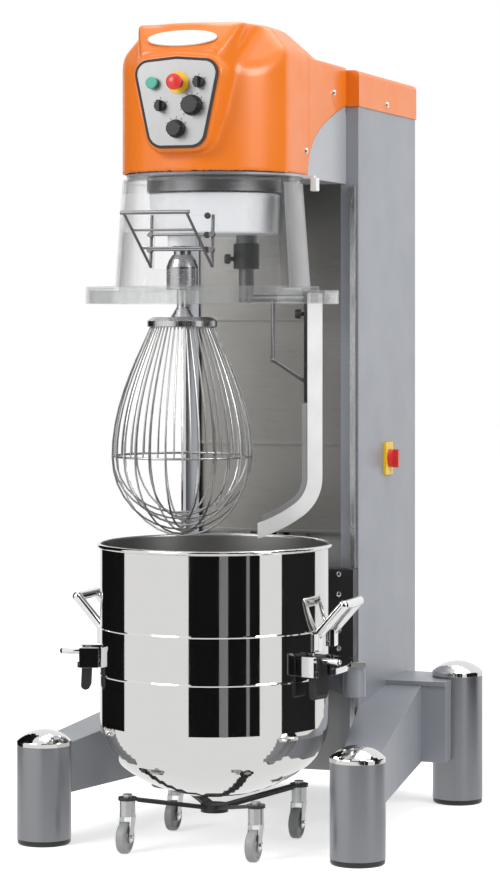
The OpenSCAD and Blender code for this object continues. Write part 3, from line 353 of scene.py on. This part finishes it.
FINISH = {
    "grey_paint": "base_frame column_sides column_rear_cover bowl_yoke carriage_plate",
    "leg_paint": "legs",
    "orange": "head_cover column_cap",
    "mirror": "leg_caps",
    "bowl": "bowl",
    "chrome": "bowl_fittings",
    "sheet": "upper_lift_cover middle_lift_cover lower_lift_cover",
    "rail": "lift_rails whisk_hub",
    "steel": "main_shaft lift_screw tool_shaft shaft_bearings",
    "wire": "whisk_wires",
    "dark_steel": "ring_gear scraper_arm loading_chute",
    "casting": "head_casting",
    "guard_sheet": "column_inner_panel",
    "black_paint": "foot_rings trolley_frame",
    "black_plastic": "slider_blocks left_clamp_lever right_clamp_lever left_selector right_selector"
    " speed_knob lift_knob",
    "rubber": "panel_gasket drive_belt",
    "motor": "main_motor lift_gearmotor control_box motor_pulley driven_pulley",
    "enamel": "planetary_drum",
    "panel": "control_panel",
    "bronze": "lift_nut",
    "clear": "front_guard rear_guard",
    "white_plastic": "scraper_blade",
    "zinc": "castor_fork_1 castor_fork_2 castor_fork_3 castor_fork_4",
    "castor": "castor_wheel_1 castor_wheel_2 castor_wheel_3 castor_wheel_4",
    "green": "start_button",
    "red": "stop_button mains_switch_knob",
    "yellow": "mains_switch_plate",
}

for finish, names in FINISH.items():
    for name in names.split():
        slots = nodes[name].data.materials
        slots.clear()
        slots.append(mats[finish])


# Mesh helpers

SHARP = 35


def piece(name, bm, finish, body, sharp=SHARP):
    """Smooth-shaded piece from a closed bmesh, with edges over the given angle kept sharp."""
    bmesh.ops.recalc_face_normals(bm, faces=bm.faces)
    mesh = bpy.data.meshes.new(name)
    bm.to_mesh(mesh)
    bm.free()
    for face in mesh.polygons:
        face.use_smooth = True
    mesh.set_sharp_from_angle(angle=math.radians(sharp))
    mesh.materials.append(mats[finish])
    made = add_object(name, mesh)
    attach(made, body)
    return made


def skin(bm, rings):
    """Close a row of equal rings: a cap at each end and walls between neighbours."""
    bm.faces.new(rings[0])
    bm.faces.new(rings[-1])
    count = len(rings[0])
    for low, high in zip(rings, rings[1:]):
        for i in range(count):
            j = (i + 1) % count
            bm.faces.new([low[i], low[j], high[j], high[i]])


def lathe(bm, profile, base, axis, sides=28, closed=False):
    """Turn (radius, height) pairs about an axis through base, in millimetres from the bowl's axis."""
    base = Vector(base)
    turn = Vector(axis).to_track_quat("Z", "Y").to_matrix()
    rings = []
    for radius, height in profile:
        ring = []
        for i in range(sides if radius else 1):
            a = math.tau * i / sides
            spoke = Vector((radius * math.cos(a), radius * math.sin(a), height))
            ring.append(bm.verts.new(at(*(base + turn @ spoke))))
        rings.append(ring)
    pairs = list(zip(rings, rings[1:]))
    if closed:
        pairs.append((rings[-1], rings[0]))
    for low, high in pairs:
        for i in range(sides):
            j = (i + 1) % sides
            corners = [low[i % len(low)], low[j % len(low)], high[j % len(high)], high[i % len(high)]]
            bm.faces.new(list(dict.fromkeys(corners)))


def slab(bm, outline, base, right, up, thick, bevel):
    """Plate whose outline lies along two directions, with a bevelled front edge."""
    base, right, up = Vector(base), Vector(right), Vector(up)
    out = right.cross(up)
    rings = []
    for inset, height in ((0, 0), (0, thick - bevel), (bevel, thick)):
        ring = []
        for a, b in outline:
            k = max(0.0, 1 - inset / math.hypot(a, b))
            ring.append(bm.verts.new(at(*(base + k * a * right + k * b * up + height * out))))
        rings.append(ring)
    skin(bm, rings)


def box_outline(width, height):
    x, y = width / 2, height / 2
    return [(-x, -y), (x, -y), (x, y), (-x, y)]


def oval(width, height, count=56):
    angles = [math.tau * i / count for i in range(count)]
    return [(width / 2 * math.cos(a), height / 2 * math.sin(a)) for a in angles]


def screw_head(r, h):
    """Half outline of a pan head with a round socket."""
    return [(0, -1), (r, -1), (r, h * 0.5), (r * 0.86, h * 0.9), (r * 0.6, h), (r * 0.5, h), (r * 0.45, h * 0.4),
            (0, h * 0.4)]


def knob_outline(r, h):
    """Half outline of a clamping knob on a short neck."""
    return [(0, 0), (r * 0.45, 0), (r * 0.45, h * 0.3), (r * 0.9, h * 0.34), (r, h * 0.45), (r, h * 0.85),
            (r * 0.8, h), (0, h)]


def field_surface(field, origin, step):
    """The surface where a field on a grid changes sign, with one point in each cell that it crosses."""
    flat = math.radians(0.5)
    size = np.array(field.shape)
    total = np.zeros((*(size - 1), 3), dtype=np.float32)
    count = np.zeros(size - 1, dtype=np.int32)
    orders = [(axis, (axis + 1) % 3, (axis + 2) % 3) for axis in range(3)]
    crossings = []
    for order in orders:
        axis, u, v = order
        lined = np.moveaxis(field, order, (0, 1, 2))
        a, b = lined[:-1], lined[1:]
        cross = (a < 0) != (b < 0)
        part = np.where(cross, a / np.where(cross, a - b, 1), 0)
        crossings.append((cross, a < 0))
        sums = np.moveaxis(total, order, (0, 1, 2))
        counts = np.moveaxis(count, order, (0, 1, 2))
        for du in (0, 1):
            for dv in (0, 1):
                pick = (slice(None), slice(du, size[u] - 1 + du), slice(dv, size[v] - 1 + dv))
                counts += cross[pick]
                sums[..., axis] += part[pick]
                sums[..., u] += du * cross[pick]
                sums[..., v] += dv * cross[pick]
    used = count > 0
    index = np.full(count.shape, -1)
    index[used] = np.arange(used.sum())
    cells = np.argwhere(used)
    points = np.array(origin) + step * (cells + total[used] / count[used][:, None])
    faces = []
    for order, (cross, rising) in zip(orders, crossings):
        place = np.moveaxis(index, order, (0, 1, 2))
        i, j, k = np.nonzero(cross[:, 1:-1, 1:-1])
        corners = [place[i, j, k], place[i, j + 1, k], place[i, j + 1, k + 1], place[i, j, k + 1]]
        ring = np.stack(corners, axis=1)
        outward = rising[:, 1:-1, 1:-1][i, j, k]
        ring[~outward] = ring[~outward][:, ::-1]
        faces.append(ring)
    bm = bmesh.new()
    verts = [bm.verts.new(at(*p)) for p in points.tolist()]
    for ring in np.concatenate(faces).tolist():
        bm.faces.new([verts[i] for i in ring])
    bmesh.ops.dissolve_limit(bm, angle_limit=flat, verts=bm.verts, edges=bm.edges)
    return bm


# Head cover

PANEL_FACE = -280
# Circles whose hull is the panel's outline: across, up and radius
PANEL_CIRCLES = ((-39, 1826, 34), (39, 1826, 34), (-74, 1971, 30), (74, 1971, 30), (0, 1947, 60))
HEAD_HALF = 224
HEAD_FOOT = 1730
HEAD_SIDE_TOP = 2043
HEAD_TOP = 2107
COVER_WALL = 8
# Lean of the sloping face above the panel: back and up
SLOPE_BACK, SLOPE_UP = 0.703, 0.711


def smooth_max(a, b, fillet):
    """The larger of two distances, rounded where they meet."""
    h = np.clip(0.5 + 0.5 * (a - b) / fillet, 0.0, 1.0)
    return b + (a - b) * h + fillet * h * (1 - h)


def smooth_min(a, b, fillet):
    return -smooth_max(-a, -b, fillet)


def plane(normal, *offsets):
    """Distance outside a plane, from its normal and the offsets from a point on it."""
    return sum(n * offset for n, offset in zip(normal, offsets))


def panel_distance(x, z):
    """Distance outside the control panel's outline."""
    directions = 72
    best = -1e9
    for i in range(directions):
        a = math.tau * i / directions
        c, s = math.cos(a), math.sin(a)
        best = np.maximum(best, x * c + z * s - max(u * c + v * s + r for u, v, r in PANEL_CIRCLES))
    return best


def head_solid(x, y, z):
    """Signed distance to the moulded cover: crowned hood, control pod and the roof back to the column."""
    nose_y, nose_r = -12, 233
    crown_inset, fall_y = 4, 164
    shoulder_y, shoulder_drop = -76.1, 3
    roof_front, roof_back, roof_top = 100, 434, 2039
    pod_margin, pod_front, pod_back = 17, -276, 20
    brow_half, brow_front, brow_foot, slope_y = 146, -262, 1880, -187
    corner_x, corner_y, corner_z = 128, -225, 2003

    wide = np.abs(x)
    over_side, over_wall, over_top = wide - HEAD_HALF, z - HEAD_SIDE_TOP, z - HEAD_TOP
    nose = np.sqrt(wide ** 2 + np.minimum(y - nose_y, 0) ** 2) - nose_r
    plan = smooth_max(over_side, nose, fillet=6)
    crown = plane((0.766, 0.643), plan + crown_inset, over_wall)
    fall = plane((0.56, 0.829), y - fall_y, over_wall)
    shoulder = plane((0.56, -0.604, 0.567), over_side, y - shoulder_y, over_wall + shoulder_drop)
    top = smooth_max(over_top, smooth_max(crown, fall, fillet=14), fillet=14)
    hood = smooth_max(plan, smooth_max(top, shoulder, fillet=12), fillet=14)

    roof = smooth_max(over_side, z - roof_top, fillet=9)
    roof = smooth_max(roof, np.maximum(y - roof_back, roof_front - y), fillet=2)
    pod = smooth_max(panel_distance(x, z) - pod_margin, pod_front - y, fillet=14)
    pod = np.maximum(pod, y - pod_back)

    side = plane((0.976, -0.217), wide - brow_half, over_top)
    slope = plane((-SLOPE_UP, SLOPE_BACK), y - slope_y, over_top)
    corner = plane((0.85, -0.516, 0.101), wide - corner_x, y - corner_y, z - corner_z)
    brow = smooth_max(smooth_max(side, corner, fillet=14), smooth_max(over_top, slope, fillet=14), fillet=12)
    brow = np.maximum(np.maximum(brow, y - pod_back), np.maximum(brow_foot - z, brow_front - y))

    solid = smooth_min(smooth_min(hood, brow, fillet=26), pod, fillet=12)
    return smooth_max(smooth_min(solid, roof, fillet=4), over_top, fillet=4)


def head_field(x, y, z):
    """The cover as a shell: open below, behind the curve of its side edge and where the panel sits."""
    edge_start, edge_end, edge_rise, edge_power = 97, 438, 204, 0.4
    panel_inset, panel_back = 14, -256
    ahead = -50
    solid = head_solid(x, y, z)
    shell = np.maximum(solid, -(solid + COVER_WALL))
    curve = HEAD_FOOT + edge_rise * np.clip((y - edge_start) / (edge_end - edge_start), 0, 1) ** edge_power
    under = 0.8 * np.minimum(curve - z, 1.2 * (y - edge_start))
    shell = np.maximum(shell, np.where(y > edge_start, under, ahead))
    shell = np.maximum(shell, -np.maximum(panel_distance(x, z) + panel_inset, y - panel_back))
    return np.maximum(shell, HEAD_FOOT - z)


def head_shell():
    step, sharp = 4.5, 60
    low, high = (-234, -288, 1721), (234, 444, 2116)
    x, y, z = (np.arange(start, end + step, step) for start, end in zip(low, high))
    field = head_field(x[:, None, None], y[None, :, None], z[None, None, :])
    made = piece("head_shell", field_surface(field, low, step), "orange", "frame", sharp)
    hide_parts("head_cover")


def badge():
    """Bare oval plate, let down along the slope's normal until it meets the cover."""
    width, height, thick, bevel, sunk = 184, 58, 4.5, 1.2, 2
    up, out = Vector((0, SLOPE_BACK, SLOPE_UP)), Vector((0, -SLOPE_UP, SLOPE_BACK))
    centre = Vector((0, -233, 2059))
    probes = oval(width, height, 16) + [(0, 0), (40, 0), (-40, 0)]
    reach = np.arange(-12, 16, 0.25)
    seat = reach[0]
    for a, b in probes:
        line = centre + Vector((a, 0, 0)) + b * up
        depth = head_solid(*(line[k] + reach * out[k] for k in range(3)))
        seat = max(seat, float(reach[depth < 0].max()))
    bm = bmesh.new()
    slab(bm, oval(width, height), centre + (seat - sunk) * out, (1, 0, 0), up, thick, bevel)
    piece("badge_plate", bm, "white_plastic", "frame")


# Control panel

MARK_SEAT = PANEL_FACE + 0.3


def panel_marks():
    """Short strokes round the knobs, set a little into the panel."""
    bm = bmesh.new()
    for knob, strokes, sweep in (("speed_knob", 11, 270), ("lift_knob", 5, 120), ("left_selector", 3, 120),
                                 ("right_selector", 3, 120)):
        low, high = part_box(knob)
        x, _, z = middle(low, high)
        reach = 500 * (high[0] - low[0]) + 5
        for i in range(strokes):
            a = math.radians(90 + sweep / 2 - sweep * i / (strokes - 1))
            out = Vector((math.cos(a), 0, math.sin(a)))
            across = Vector((math.sin(a), 0, -math.cos(a)))
            slab(bm, box_outline(1.6, 5), Vector((x, MARK_SEAT, z)) + reach * out, across, out, 0.8, 0.2)
    piece("panel_marks", bm, "black_plastic", "frame")


def stop_ring():
    bm = bmesh.new()
    x, _, z = middle(*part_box("stop_button"))
    outline = [(14, 0), (28, 0), (28, 1.2), (27, 2), (15, 2), (14, 1.2)]
    lathe(bm, outline, (x, MARK_SEAT, z), (0, -1, 0), sides=48, closed=True)
    piece("stop_ring", bm, "yellow", "frame")


# Screws and bolts

LARGE_SCREW = screw_head(8, 5)
SMALL_SCREW = screw_head(7, 5)
SIDES = (-1, 1)


def cover_screws():
    bm = bmesh.new()
    for side in SIDES:
        for x, y, z in ((HEAD_HALF, 316, 1961), (HEAD_HALF, 76, 1793), (258, 699, 1955)):
            lathe(bm, LARGE_SCREW, (side * x, y, z), (side, 0, 0))
    piece("cover_screws", bm, "chrome", "frame")


def rear_screws():
    rows, first, step, inset = 6, 0.04, 0.184, 22
    low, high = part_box("column_rear_cover")
    bm = bmesh.new()
    for side in SIDES:
        for k in range(rows):
            z = 1000 * (low[2] + (high[2] - low[2]) * (first + step * k))
            place = (side * (1000 * high[0] - inset), 1000 * (high[1] - BOWL_Y), z)
            lathe(bm, SMALL_SCREW, place, (0, 1, 0))
    piece("rear_screws", bm, "chrome", "frame")


def slider_screws():
    face = 1000 * (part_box("slider_blocks")[0][1] - BOWL_Y)
    bm = bmesh.new()
    for side in SIDES:
        for z in (672, 618, 520, 472):
            lathe(bm, LARGE_SCREW, (side * 214, face, z), (0, -1, 0))
    piece("slider_screws", bm, "chrome", "carriage")


def castor_bolts():
    """Bolt heads on the outer faces of the castor forks, over the ends of the axles."""
    cheek = 5
    for i in range(1, 5):
        low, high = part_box(f"castor_wheel_{i}")
        _, y, z = middle(low, high)
        bm = bmesh.new()
        for side, face in zip(SIDES, (low[0], high[0])):
            lathe(bm, LARGE_SCREW, (1000 * face + side * cheek, y, z), (side, 0, 0), sides=6)
        piece(f"castor_bolts_{i}", bm, "chrome", f"castor_{i}")


# Guard, scraper, whisk and clamps

SCRAPER_TURN = math.radians(15)


def guard_switch():
    """Switch block on a bracket from the side of the head casting."""
    along, up = (0, 1, 0), (0, 0, 1)
    bm = bmesh.new()
    slab(bm, box_outline(26, 34), (241, 74, 1706), along, up, thick=16, bevel=2)
    slab(bm, box_outline(18, 8), (219, 74, 1725), along, up, thick=30, bevel=1)
    piece("guard_switch", bm, "white_plastic", "frame")


def guard_plate():
    """Grey sheet round the fixed guard's right edge, where the turning guard meets it."""
    start, span, steps = -20, 39, 14
    section = ((227.1, 1706), (247.0, 1436), (248.7, 1436), (228.8, 1706))
    bm = bmesh.new()
    rings = []
    for i in range(steps + 1):
        turn = math.radians(start + span * i / steps)
        rings.append([bm.verts.new(at(*turned(r, 0, z, turn))) for r, z in section])
    skin(bm, rings)
    piece("guard_plate", bm, "guard_sheet", "frame")


def chute_nuts():
    """Nuts on the guard's outer cone, beside the loading chute."""
    x = 70
    foot_z, top_z, top_r, widening = 1441, 1715, 238, 19
    bm = bmesh.new()
    for z in (1617, 1569, 1532):
        cone = top_r + widening * (top_z - z) / (top_z - foot_z)
        face = -math.sqrt(cone ** 2 - x ** 2)
        lathe(bm, knob_outline(8, 14), (x, face - 0.5, z), (0, -1, 0), sides=18)
    piece("chute_nuts", bm, "black_plastic", "guard")


def scraper_clamp():
    """Sleeve and knob at the scraper's holder, and the knob that holds the blade to its arm."""
    x, y = 62.3, 71.7
    knob_out = (-0.9444, -0.3289, 0)
    sleeve = [(20.3, 1488), (32, 1488), (34, 1490), (34, 1551), (32, 1555), (27.3, 1555), (27.3, 1515.5),
              (20.3, 1515.5)]
    bm = bmesh.new()
    lathe(bm, sleeve, (x, y, 0), (0, 0, 1), sides=40, closed=True)
    lathe(bm, knob_outline(13, 24), (x - 31.5, y - 11, 1515), knob_out)
    inward = Vector(turned(-1, 0, 0, SCRAPER_TURN))
    foot = Vector(turned(231, 10, 1372, SCRAPER_TURN))
    lathe(bm, knob_outline(12, 24), foot - inward, inward)
    piece("scraper_clamp", bm, "black_plastic", "planetary")


def blade_backing():
    """Steel strip along the inner edge of the scraper blade, from its straight part round to the tip."""
    crown, knuckle, wall, inset, width, tip = 400, 140, 296, 55, 14, 116
    floor_z, top_z = 758, 1140
    half_thick, sunk, steps = 4, 0.5, 12
    centre_x = wall - knuckle
    centre_z = floor_z + crown - math.sqrt((crown - knuckle) ** 2 - centre_x ** 2)
    lean = math.degrees(math.atan2(floor_z + crown - centre_z, centre_x))

    def edge(d):
        line = []
        for i in range(steps + 1):
            a = math.radians(-90 + (90 - lean) * i / steps)
            line.append(((crown - d) * math.cos(a), floor_z + crown + (crown - d) * math.sin(a)))
        for i in range(1, steps + 1):
            a = math.radians(-lean + lean * i / steps)
            line.append((centre_x + (knuckle - d) * math.cos(a), centre_z + (knuckle - d) * math.sin(a)))
        return [p for p in line if p[0] > tip] + [(wall - d, top_z)]

    outer, inner = edge(inset - sunk), edge(inset + width)
    count = min(len(outer), len(inner))
    bm = bmesh.new()
    rings = []
    for (x0, z0), (x1, z1) in zip(outer[-count:], inner[-count:]):
        corners = ((x0, -half_thick, z0), (x1, -half_thick, z1), (x1, half_thick, z1), (x0, half_thick, z0))
        rings.append([bm.verts.new(at(*turned(*corner, SCRAPER_TURN))) for corner in corners])
    skin(bm, rings)
    piece("blade_backing", bm, "guard_sheet", "planetary")


def whisk_upper_wires():
    """Thinner wires from the whisk's disc to its hoop, halfway between the loops."""
    count, waist, loop_d, hoop_r, disc_inset, sunk = 26, 331, 5, 3, 10, 1
    wire_r, sides, bends = 2, 8, 16
    low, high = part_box("whisk_wires")
    hub_low, hub_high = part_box("whisk_hub")
    x, y, _ = middle(low, high)
    reach = 500 * (high[0] - low[0]) - loop_d - hoop_r
    start = 500 * (hub_high[0] - hub_low[0]) - disc_inset
    hoop_z = 1000 * high[2] - waist
    path = []
    for i in range(bends + 1):
        part = i / bends
        out = start + (reach - start) * math.sin(math.pi / 2 * part)
        path.append(Vector((out, hoop_z + (waist + sunk) * (1 - part))))
    bm = bmesh.new()
    for k in range(count):
        turn = math.tau * (k + 0.5) / count
        rings = []
        for i, point in enumerate(path):
            along = (path[min(i + 1, bends)] - path[max(i - 1, 0)]).normalized()
            ring = []
            for j in range(sides):
                a = math.tau * j / sides
                out, across = point.x - wire_r * math.cos(a) * along.y, wire_r * math.sin(a)
                dx, dy, z = turned(out, across, point.y + wire_r * math.cos(a) * along.x, turn)
                ring.append(bm.verts.new(at(x + dx, y + dy, z)))
            rings.append(ring)
        skin(bm, rings)
    piece("whisk_upper_wires", bm, "wire", "tool")


def clamp_stubs():
    """Round-ended pins through the bowl's clamp levers."""
    x, y, z = 311.9, -101.4, 500
    turn = math.radians(-18)
    outline = [(0, 18), (7.6, 18), (7.6, 64), (6, 70), (3, 72.5), (0, 73)]
    for side, name in ((1, "right"), (-1, "left")):
        bm = bmesh.new()
        out = (side * math.cos(turn), math.sin(turn), 0)
        lathe(bm, outline, (side * x, y, z), out)
        piece(f"{name}_clamp_stub", bm, "chrome", f"{name}_clamp")


head_shell()
badge()
panel_marks()
stop_ring()
cover_screws()
rear_screws()
slider_screws()
guard_switch()
scraper_clamp()
blade_backing()
guard_plate()
chute_nuts()
whisk_upper_wires()
clamp_stubs()
castor_bolts()


# Stage, light and camera

FLOOR_HALF = 30
FLOOR_SEEN = 0.6
FLOOR_MIRRORED = 0.93
FILL_LEVEL = 0.46
CAMERA_TURN = 19.2
# Dark flags round the bowl's axis: name, first and last angle from the camera's side in degrees, tone
FLAGS = (
    ("front_left", -23, 5, 0.01),
    ("front_gap", 5, 13, 0.3),
    ("front_middle", 13, 30, 0.01),
    ("front_slit", 30, 33, 0.3),
    ("front_right", 33, 43, 0.01),
    ("right", 66, 114, 0.02),
    ("left", -146, -94, 0.01),
)
FLAG_RADIUS, FLAG_LOW, FLAG_HIGH, FLAG_STEPS = 1900, 20, 3200, 8
# Pixels of the picture: its height, the focal length and the row of the horizon
PICTURE_HEIGHT, FOCAL, HORIZON = 872, 2845.6, 317.1
SENSOR = 36


def floor():
    """Pale floor that stays even and pale to the camera and in reflections."""
    s = Shader("floor", Base_Color=(0.8, 0.8, 0.8), Roughness=0.9)
    path = s.node("ShaderNodeLightPath")
    glow = s.light("ShaderNodeEmission", WHITE, s.maths("MULTIPLY", s.seen(path), FLOOR_SEEN))
    lit = s.blended("ShaderNodeAddShader", s.bsdf.outputs[0], glow)
    mirrored = s.light("ShaderNodeEmission", WHITE, FLOOR_MIRRORED)
    surface = s.blended("ShaderNodeMixShader", path.outputs["Is Glossy Ray"], lit, mirrored)
    s.link(surface, s.tree.nodes["Material Output"].inputs["Surface"])
    mesh = bpy.data.meshes.new("floor")
    corners = [(x * FLOOR_HALF, y * FLOOR_HALF, 0) for x, y in ((-1, -1), (1, -1), (1, 1), (-1, 1))]
    mesh.from_pydata(corners, [], [(0, 1, 2, 3)])
    mesh.materials.append(s.material)
    made = add_object("floor", mesh)


def flag(name, start, end, tone):
    """A dark flag beside the set, seen only in reflections."""
    s = Shader(name, Base_Color=(tone, tone, tone), Roughness=1.0, Specular_IOR_Level=0.0)
    points = []
    for i in range(FLAG_STEPS + 1):
        a = math.radians(CAMERA_TURN + start + (end - start) * i / FLAG_STEPS)
        for z in (FLAG_LOW, FLAG_HIGH):
            points.append(at(FLAG_RADIUS * math.sin(a), -FLAG_RADIUS * math.cos(a), z))
    mesh = bpy.data.meshes.new(name)
    mesh.from_pydata(points, [], [(2 * i, 2 * i + 2, 2 * i + 3, 2 * i + 1) for i in range(FLAG_STEPS)])
    mesh.materials.append(s.material)
    made = add_object(name, mesh)
    made.visible_camera = False
    made.visible_diffuse = False
    made.visible_shadow = False
    made.visible_transmission = False
    made.visible_volume_scatter = False


def world():
    """White to the camera and in reflections, a soft fill for all other light."""
    made = bpy.data.worlds.new("studio")
    scene.world = made
    made.use_nodes = True
    made.node_tree.nodes.clear()
    n = Nodes(made.node_tree)
    path = n.node("ShaderNodeLightPath")
    plain_rays = n.maths("MAXIMUM", n.seen(path), path.outputs["Is Glossy Ray"])
    fill = n.light("ShaderNodeBackground", (0.97, 0.98, 1.0), FILL_LEVEL)
    plain = n.light("ShaderNodeBackground", WHITE, 1.0)
    surface = n.blended("ShaderNodeMixShader", plain_rays, fill, plain)
    n.link(surface, n.node("ShaderNodeOutputWorld").inputs["Surface"])


def lamp(name, place, target, size, power):
    data = bpy.data.lights.new(name, "AREA")
    data.shape = "RECTANGLE"
    data.size, data.size_y = size
    data.energy = power
    made = add_object(name, data)
    made.location = place
    made.rotation_euler = (Vector(target) - Vector(place)).to_track_quat("-Z", "Y").to_euler()


def camera():
    data = bpy.data.cameras.new("camera")
    data.sensor_width = SENSOR
    data.lens = SENSOR * FOCAL / PICTURE_HEIGHT
    data.shift_y = -(PICTURE_HEIGHT / 2 - HORIZON) / PICTURE_HEIGHT
    data.clip_end = 100
    made = add_object("camera", data)
    made.location = at(2506.8, -6919.3, 1363.7)
    made.rotation_euler = (math.pi / 2, 0, math.radians(CAMERA_TURN))
    scene.camera = made


floor()
world()
for name, start, end, tone in FLAGS:
    flag(f"flag_{name}", start, end, tone)
lamp("key", place=(-3.2, -5.0, 4.2), target=(0, -0.2, 1.1), size=(3.0, 3.0), power=220)
lamp("fill", place=(3.8, -1.4, 3.3), target=(0.2, 0.3, 2.0), size=(2.0, 1.6), power=104)
lamp("top", place=(0.3, 1.2, 5.0), target=(0, 0, 1.0), size=(3.5, 3.0), power=95)
camera()
scene.view_settings.view_transform = "Standard"
